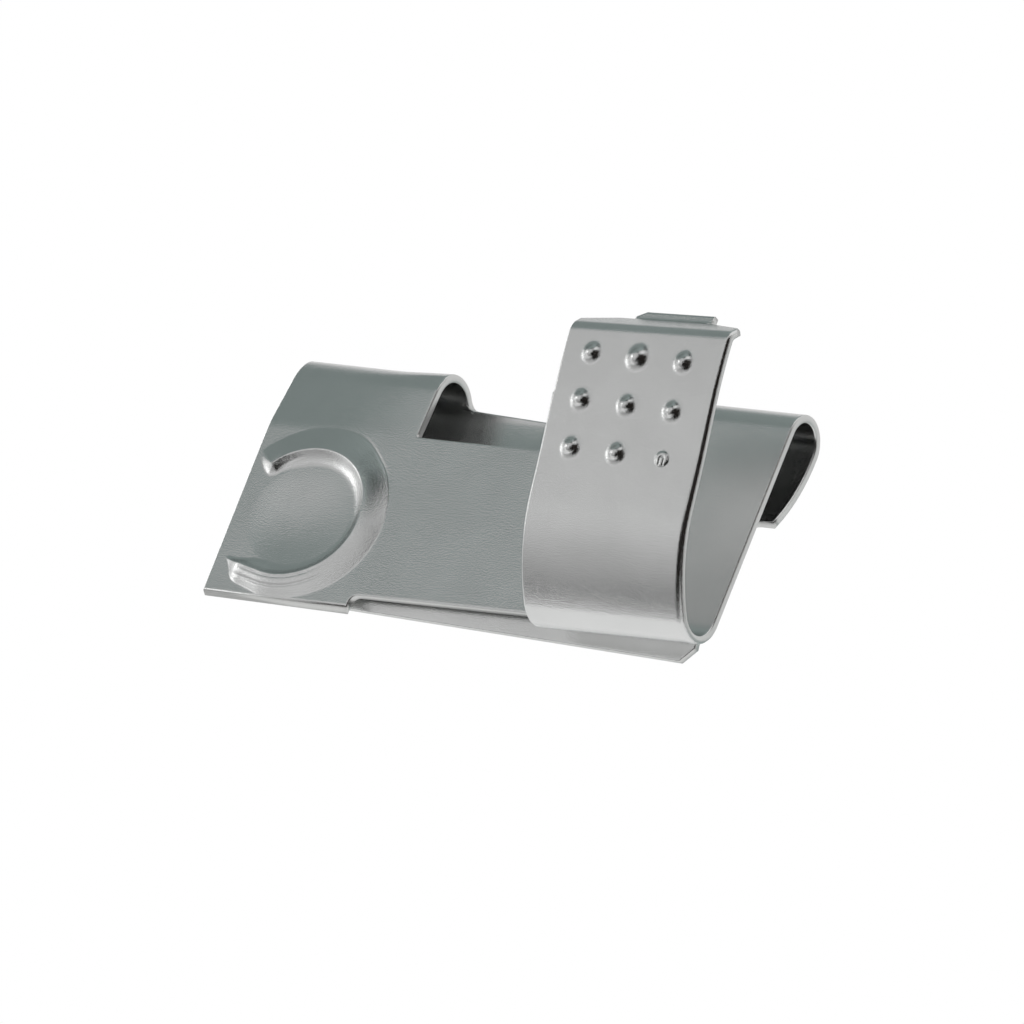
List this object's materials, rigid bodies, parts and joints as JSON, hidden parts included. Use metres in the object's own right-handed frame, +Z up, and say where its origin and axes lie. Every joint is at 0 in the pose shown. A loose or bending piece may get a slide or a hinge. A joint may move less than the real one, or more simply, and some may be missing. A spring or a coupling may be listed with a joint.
{
  "type": "battery contact",
  "caption": "Folded spring-steel bridge between side-by-side cells: a raised C-shaped bead for the positive cap, a sprung leaf with pips for the flat end, and a clip for the box wall.",
  "frame": {"origin": "on the front plate's back face, midway between the two cells and level with their axes", "axes": "+X along the strip from the positive contact to the leaf, +Y from the cells towards the box wall, +Z up the front plate to the rolls"},
  "size_m": [0.0209, 0.0079, 0.0105],
  "materials": {
    "plated_steel": "dull bright plating with fine rolling grain"
  },
  "bodies": {
    "root": {"contact_strip": "plated_steel"}
  },
  "joints": []
}
